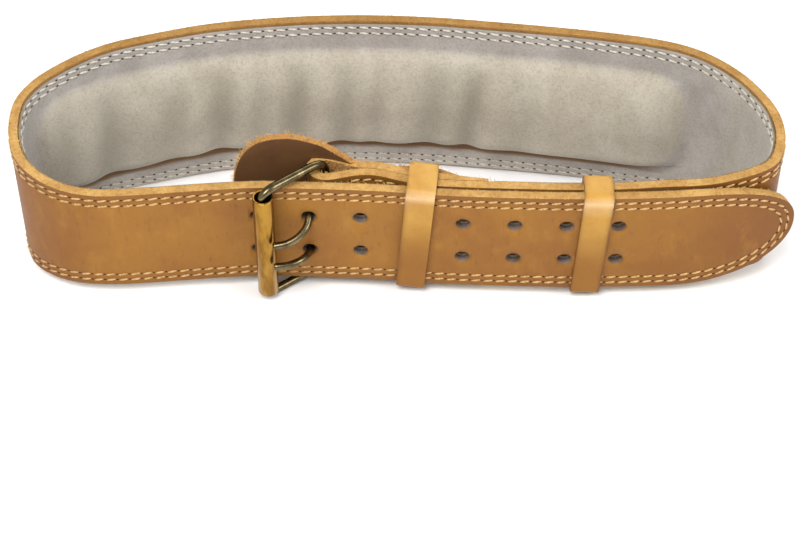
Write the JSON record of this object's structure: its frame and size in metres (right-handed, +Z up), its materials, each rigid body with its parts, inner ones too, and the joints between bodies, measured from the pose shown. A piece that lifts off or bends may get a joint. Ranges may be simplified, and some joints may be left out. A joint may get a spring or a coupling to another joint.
{
  "type": "weightlifting belt",
  "caption": "Wide tan leather lifting belt that tapers to the front, lined in grey suede over a padded back, closed by a roller buckle with two prongs.",
  "frame": {"origin": "middle of the belt seen from above, at the floor it stands on", "axes": "+X to the right of someone facing the buckle, -Y out of the front where the buckle is, +Z up"},
  "size_m": [0.381, 0.1248, 0.1015],
  "materials": {
    "grain_leather": "oiled tan grain with pale cut edges and pale double stitching",
    "suede": "matt grey-beige suede",
    "foam": "soft foam under the suede",
    "guard_leather": "raw golden flesh side, brown grain side",
    "keeper_leather": "smooth golden tan, slightly glossy",
    "bronze": "dark bronze plating on steel",
    "brass": "polished and slightly worn"
  },
  "bodies": {
    "root": {"belt_leather": "grain_leather", "suede_lining": "suede", "lumbar_pad": "foam", "buckle_guard": "guard_leather", "keeper_fixed": "keeper_leather", "keeper_sliding": "keeper_leather", "rivet_1": "bronze", "rivet_2": "bronze", "rivet_3": "bronze", "rivet_4": "bronze", "buckle_frame": "bronze", "buckle_roller": "brass", "prong_upper": "bronze", "prong_lower": "bronze"}
  },
  "joints": []
}
